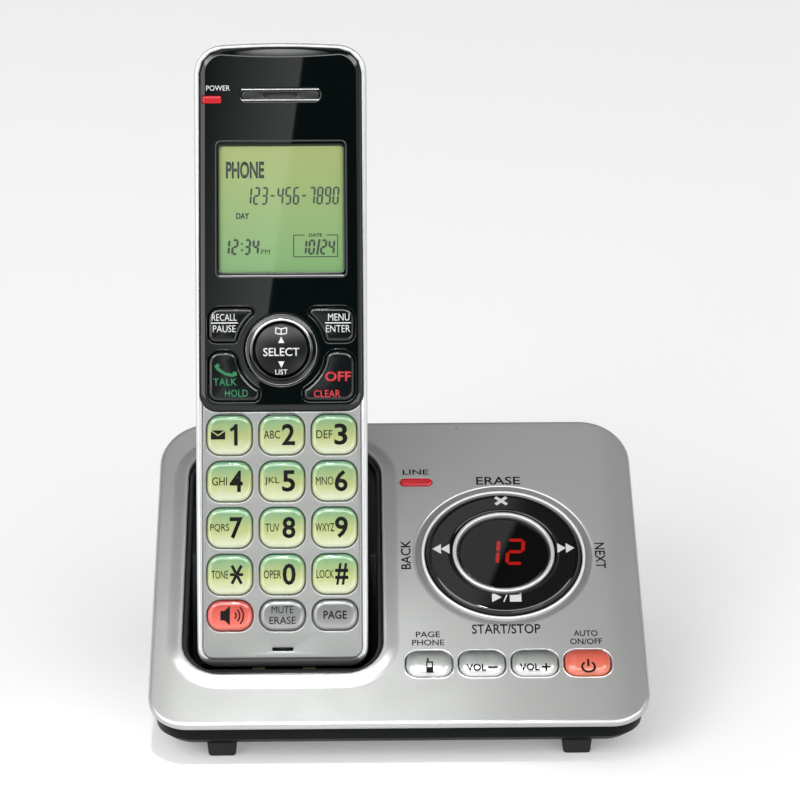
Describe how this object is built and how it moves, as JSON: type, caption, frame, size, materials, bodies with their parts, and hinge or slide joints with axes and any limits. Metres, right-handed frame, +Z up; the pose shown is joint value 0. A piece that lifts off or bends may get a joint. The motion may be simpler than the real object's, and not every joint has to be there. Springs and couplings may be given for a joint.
{
  "type": "answering machine",
  "caption": "Sloping telephone base with a round rocking control ring, a counter window and keys, and a cordless handset standing in its charging cradle.",
  "frame": {"origin": "under the middle of the whole object, on the surface that the feet stand on", "axes": "+X to the user's right, +Y to the back, +Z up; the panel slopes up to the back at 25 degrees"},
  "size_m": [0.136, 0.1238, 0.172],
  "materials": {
    "silver_plastic": "satin silver paint",
    "battery_door_plastic": "satin silver paint",
    "black_plastic": "fine texture",
    "cradle_plastic": "semi gloss",
    "rubber": "matte",
    "jack_plastic": "moulded",
    "speaker_metal": "satin",
    "screw_steel": "plated",
    "contact_metal": "nickel plated",
    "bright_trim": "polished",
    "ring_plastic": "semi gloss",
    "smoked_window": "smoked",
    "display_plastic": "semi gloss",
    "grey_key": "satin",
    "orange_key": "satin",
    "light_lens": "clear",
    "key_mat_rubber": "matte",
    "circuit_board": "solder resist",
    "keypad_plastic": "satin",
    "gloss_black_plate": "high gloss",
    "navigation_plastic": "satin",
    "screen_glass": "lit display",
    "grille_metal": "satin",
    "battery_wrap": "shrink wrap",
    "clear_key": "translucent",
    "function_key": "satin"
  },
  "bodies": {
    "base": {"base_bottom_cover": "black_plastic", "rubber_feet": "rubber", "line_jack": "jack_plastic", "power_jack": "jack_plastic", "base_loudspeaker": "speaker_metal", "base_case_screws": "screw_steel", "base_top_cover": "silver_plastic", "cradle_liner": "cradle_plastic", "cradle_charge_contacts": "contact_metal", "dial_bezel_ring": "bright_trim", "display_hub": "black_plastic", "display_trim_ring": "bright_trim", "display_window": "smoked_window", "led_display": "display_plastic", "in_use_light": "light_lens", "base_key_mat": "key_mat_rubber", "base_circuit_board": "circuit_board"},
    "handset": {"handset_front_case": "silver_plastic", "handset_back_case": "silver_plastic", "handset_keypad_panel": "keypad_plastic", "handset_face_plate": "gloss_black_plate", "navigation_ring_trim": "bright_trim", "handset_key_mat": "key_mat_rubber", "handset_circuit_board": "circuit_board", "screen_module": "screen_glass", "earpiece_grille": "grille_metal", "earpiece_receiver": "speaker_metal", "charge_light": "light_lens", "microphone": "speaker_metal", "battery_pack": "battery_wrap", "handset_case_screws": "screw_steel", "handset_charge_contacts": "contact_metal"},
    "battery_door": {"battery_door": "battery_door_plastic"},
    "dial_carrier": {"dial_rocker_carrier": "black_plastic"},
    "dial_ring": {"dial_rocker_ring": "ring_plastic"},
    "navigation": {"navigation_key": "navigation_plastic"},
    "find_handset_key_cap": {"find_handset_key": "grey_key"},
    "volume_down_key_cap": {"volume_down_key": "grey_key"},
    "volume_up_key_cap": {"volume_up_key": "grey_key"},
    "answer_on_off_key_cap": {"answer_on_off_key": "orange_key"},
    "number_1_key_cap": {"number_1_key": "clear_key"},
    "number_2_key_cap": {"number_2_key": "clear_key"},
    "number_3_key_cap": {"number_3_key": "clear_key"},
    "number_4_key_cap": {"number_4_key": "clear_key"},
    "number_5_key_cap": {"number_5_key": "clear_key"},
    "number_6_key_cap": {"number_6_key": "clear_key"},
    "number_7_key_cap": {"number_7_key": "clear_key"},
    "number_8_key_cap": {"number_8_key": "clear_key"},
    "number_9_key_cap": {"number_9_key": "clear_key"},
    "star_key_cap": {"star_key": "clear_key"},
    "number_0_key_cap": {"number_0_key": "clear_key"},
    "hash_key_cap": {"hash_key": "clear_key"},
    "speaker_key_cap": {"speaker_key": "orange_key"},
    "mute_key_cap": {"mute_key": "function_key"},
    "intercom_key_cap": {"intercom_key": "function_key"},
    "redial_key_cap": {"redial_key": "function_key"},
    "menu_key_cap": {"menu_key": "function_key"},
    "talk_key_cap": {"talk_key": "function_key"},
    "off_key_cap": {"off_key": "function_key"}
  },
  "joints": [
    {"name": "handset_lift", "type": "slide", "parent": "base", "child": "handset", "axis": [0, 0.4695, 0.8829], "range_m": [0, 0.06]},
    {"name": "battery_door_slide", "type": "slide", "parent": "handset", "child": "battery_door", "axis": [0, -0.4695, -0.8829], "range_m": [0, 0.005]},
    {"name": "dial_tilt_up_down", "type": "hinge", "parent": "base", "child": "dial_carrier", "pos_m": [0.03, -0.00701, 0.03369], "axis": [1, 0, 0], "range_deg": [-2.5, 2.5], "stiffness_Nm_per_rad": 0.05},
    {"name": "dial_tilt_left_right", "type": "hinge", "parent": "dial_carrier", "child": "dial_ring", "pos_m": [0.03, -0.00701, 0.03369], "axis": [0, 0.9063, 0.4226], "range_deg": [-2.5, 2.5], "stiffness_Nm_per_rad": 0.05},
    {"name": "navigation_rock", "type": "hinge", "parent": "handset", "child": "navigation", "pos_m": [-0.03175, 0.00246, 0.09522], "axis": [1, 0, 0], "range_deg": [-2.5, 2.5], "stiffness_Nm_per_rad": 0.03},
    {"name": "find_handset_key_press", "type": "slide", "parent": "base", "child": "find_handset_key_cap", "axis": [0, 0.4226, -0.9063], "range_m": [0, 0.0012], "stiffness_N_per_m": 300, "springref_m": -0.0004},
    {"name": "volume_down_key_press", "type": "slide", "parent": "base", "child": "volume_down_key_cap", "axis": [0, 0.4226, -0.9063], "range_m": [0, 0.0012], "stiffness_N_per_m": 300, "springref_m": -0.0004},
    {"name": "volume_up_key_press", "type": "slide", "parent": "base", "child": "volume_up_key_cap", "axis": [0, 0.4226, -0.9063], "range_m": [0, 0.0012], "stiffness_N_per_m": 300, "springref_m": -0.0004},
    {"name": "answer_on_off_key_press", "type": "slide", "parent": "base", "child": "answer_on_off_key_cap", "axis": [0, 0.4226, -0.9063], "range_m": [0, 0.0012], "stiffness_N_per_m": 300, "springref_m": -0.0004},
    {"name": "number_1_key_press", "type": "slide", "parent": "handset", "child": "number_1_key_cap", "axis": [0, 0.8829, -0.4695], "range_m": [0, 0.0007], "stiffness_N_per_m": 300, "springref_m": -0.0004},
    {"name": "number_2_key_press", "type": "slide", "parent": "handset", "child": "number_2_key_cap", "axis": [0, 0.8829, -0.4695], "range_m": [0, 0.0007], "stiffness_N_per_m": 300, "springref_m": -0.0004},
    {"name": "number_3_key_press", "type": "slide", "parent": "handset", "child": "number_3_key_cap", "axis": [0, 0.8829, -0.4695], "range_m": [0, 0.0007], "stiffness_N_per_m": 300, "springref_m": -0.0004},
    {"name": "number_4_key_press", "type": "slide", "parent": "handset", "child": "number_4_key_cap", "axis": [0, 0.8829, -0.4695], "range_m": [0, 0.0007], "stiffness_N_per_m": 300, "springref_m": -0.0004},
    {"name": "number_5_key_press", "type": "slide", "parent": "handset", "child": "number_5_key_cap", "axis": [0, 0.8829, -0.4695], "range_m": [0, 0.0007], "stiffness_N_per_m": 300, "springref_m": -0.0004},
    {"name": "number_6_key_press", "type": "slide", "parent": "handset", "child": "number_6_key_cap", "axis": [0, 0.8829, -0.4695], "range_m": [0, 0.0007], "stiffness_N_per_m": 300, "springref_m": -0.0004},
    {"name": "number_7_key_press", "type": "slide", "parent": "handset", "child": "number_7_key_cap", "axis": [0, 0.8829, -0.4695], "range_m": [0, 0.0007], "stiffness_N_per_m": 300, "springref_m": -0.0004},
    {"name": "number_8_key_press", "type": "slide", "parent": "handset", "child": "number_8_key_cap", "axis": [0, 0.8829, -0.4695], "range_m": [0, 0.0007], "stiffness_N_per_m": 300, "springref_m": -0.0004},
    {"name": "number_9_key_press", "type": "slide", "parent": "handset", "child": "number_9_key_cap", "axis": [0, 0.8829, -0.4695], "range_m": [0, 0.0007], "stiffness_N_per_m": 300, "springref_m": -0.0004},
    {"name": "star_key_press", "type": "slide", "parent": "handset", "child": "star_key_cap", "axis": [0, 0.8829, -0.4695], "range_m": [0, 0.0007], "stiffness_N_per_m": 300, "springref_m": -0.0004},
    {"name": "number_0_key_press", "type": "slide", "parent": "handset", "child": "number_0_key_cap", "axis": [0, 0.8829, -0.4695], "range_m": [0, 0.0007], "stiffness_N_per_m": 300, "springref_m": -0.0004},
    {"name": "hash_key_press", "type": "slide", "parent": "handset", "child": "hash_key_cap", "axis": [0, 0.8829, -0.4695], "range_m": [0, 0.0007], "stiffness_N_per_m": 300, "springref_m": -0.0004},
    {"name": "speaker_key_press", "type": "slide", "parent": "handset", "child": "speaker_key_cap", "axis": [0, 0.8829, -0.4695], "range_m": [0, 0.0007], "stiffness_N_per_m": 300, "springref_m": -0.0004},
    {"name": "mute_key_press", "type": "slide", "parent": "handset", "child": "mute_key_cap", "axis": [0, 0.8829, -0.4695], "range_m": [0, 0.0007], "stiffness_N_per_m": 300, "springref_m": -0.0004},
    {"name": "intercom_key_press", "type": "slide", "parent": "handset", "child": "intercom_key_cap", "axis": [0, 0.8829, -0.4695], "range_m": [0, 0.0007], "stiffness_N_per_m": 300, "springref_m": -0.0004},
    {"name": "redial_key_press", "type": "slide", "parent": "handset", "child": "redial_key_cap", "axis": [0, 0.8829, -0.4695], "range_m": [0, 0.0007], "stiffness_N_per_m": 300, "springref_m": -0.0004},
    {"name": "menu_key_press", "type": "slide", "parent": "handset", "child": "menu_key_cap", "axis": [0, 0.8829, -0.4695], "range_m": [0, 0.0007], "stiffness_N_per_m": 300, "springref_m": -0.0004},
    {"name": "talk_key_press", "type": "slide", "parent": "handset", "child": "talk_key_cap", "axis": [0, 0.8829, -0.4695], "range_m": [0, 0.0007], "stiffness_N_per_m": 300, "springref_m": -0.0004},
    {"name": "off_key_press", "type": "slide", "parent": "handset", "child": "off_key_cap", "axis": [0, 0.8829, -0.4695], "range_m": [0, 0.0007], "stiffness_N_per_m": 300, "springref_m": -0.0004}
  ]
}
